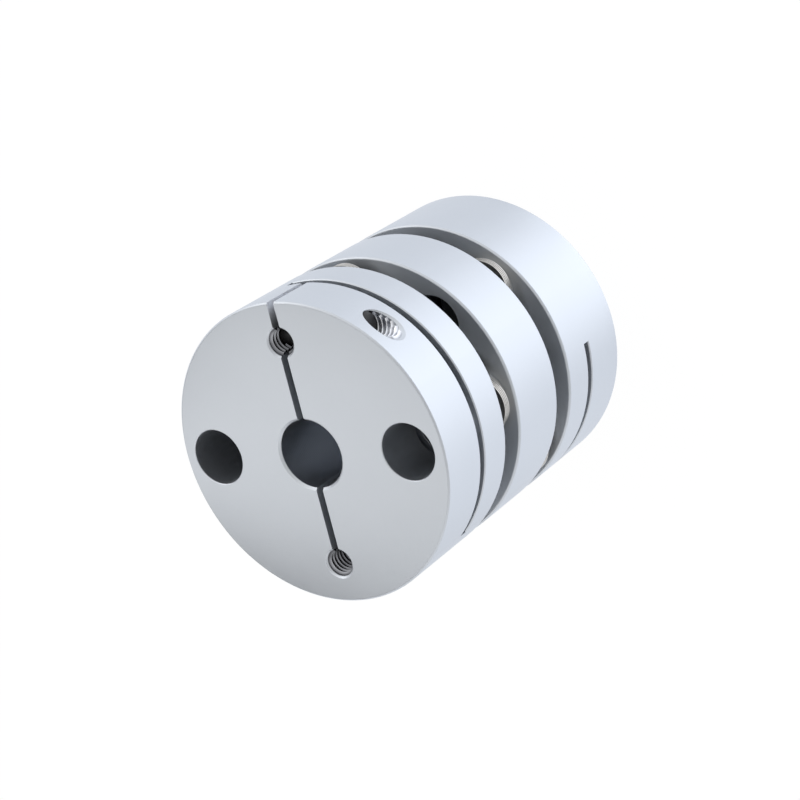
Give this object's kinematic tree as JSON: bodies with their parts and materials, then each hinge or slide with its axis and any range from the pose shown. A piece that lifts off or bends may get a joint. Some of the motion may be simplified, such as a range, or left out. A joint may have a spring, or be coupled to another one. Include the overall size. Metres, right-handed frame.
{
  "type": "disc coupling",
  "caption": "Double disc coupling with clamping hubs: joins two shafts end to end, with spring plate packs and a spacer that take up misalignment.",
  "frame": {"origin": "centre of the rear hub's end face, on which the coupling stands", "axes": "+Z along the shaft axis towards the front hub; +Y towards the open end of the front hub's clamping slit"},
  "size_m": [0.044, 0.044, 0.0496],
  "materials": {
    "blasted_aluminium": "satin, fine bead-blasted and clear anodised",
    "spring_steel": "rolled, with stamped edges",
    "black_oxide_steel": "black oxide, slightly oiled"
  },
  "bodies": {
    "root": {"front_hub": "blasted_aluminium", "rear_hub": "blasted_aluminium", "spacer": "blasted_aluminium", "front_clamp_screw": "black_oxide_steel", "rear_clamp_screw": "black_oxide_steel", "front_plate_1": "spring_steel", "front_plate_2": "spring_steel", "front_plate_3": "spring_steel", "front_plate_4": "spring_steel", "front_collar_1": "spring_steel", "front_collar_2": "spring_steel", "front_collar_3": "spring_steel", "front_collar_4": "spring_steel", "front_washer_1": "black_oxide_steel", "front_washer_2": "black_oxide_steel", "front_washer_3": "black_oxide_steel", "front_washer_4": "black_oxide_steel", "front_disc_screw_1": "black_oxide_steel", "front_disc_screw_2": "black_oxide_steel", "front_disc_screw_3": "black_oxide_steel", "front_disc_screw_4": "black_oxide_steel", "rear_plate_1": "spring_steel", "rear_plate_2": "spring_steel", "rear_plate_3": "spring_steel", "rear_plate_4": "spring_steel", "rear_collar_1": "spring_steel", "rear_collar_2": "spring_steel", "rear_collar_3": "spring_steel", "rear_collar_4": "spring_steel", "rear_washer_1": "black_oxide_steel", "rear_washer_2": "black_oxide_steel", "rear_washer_3": "black_oxide_steel", "rear_washer_4": "black_oxide_steel", "rear_disc_screw_1": "black_oxide_steel", "rear_disc_screw_2": "black_oxide_steel", "rear_disc_screw_3": "black_oxide_steel", "rear_disc_screw_4": "black_oxide_steel"}
  },
  "joints": []
}
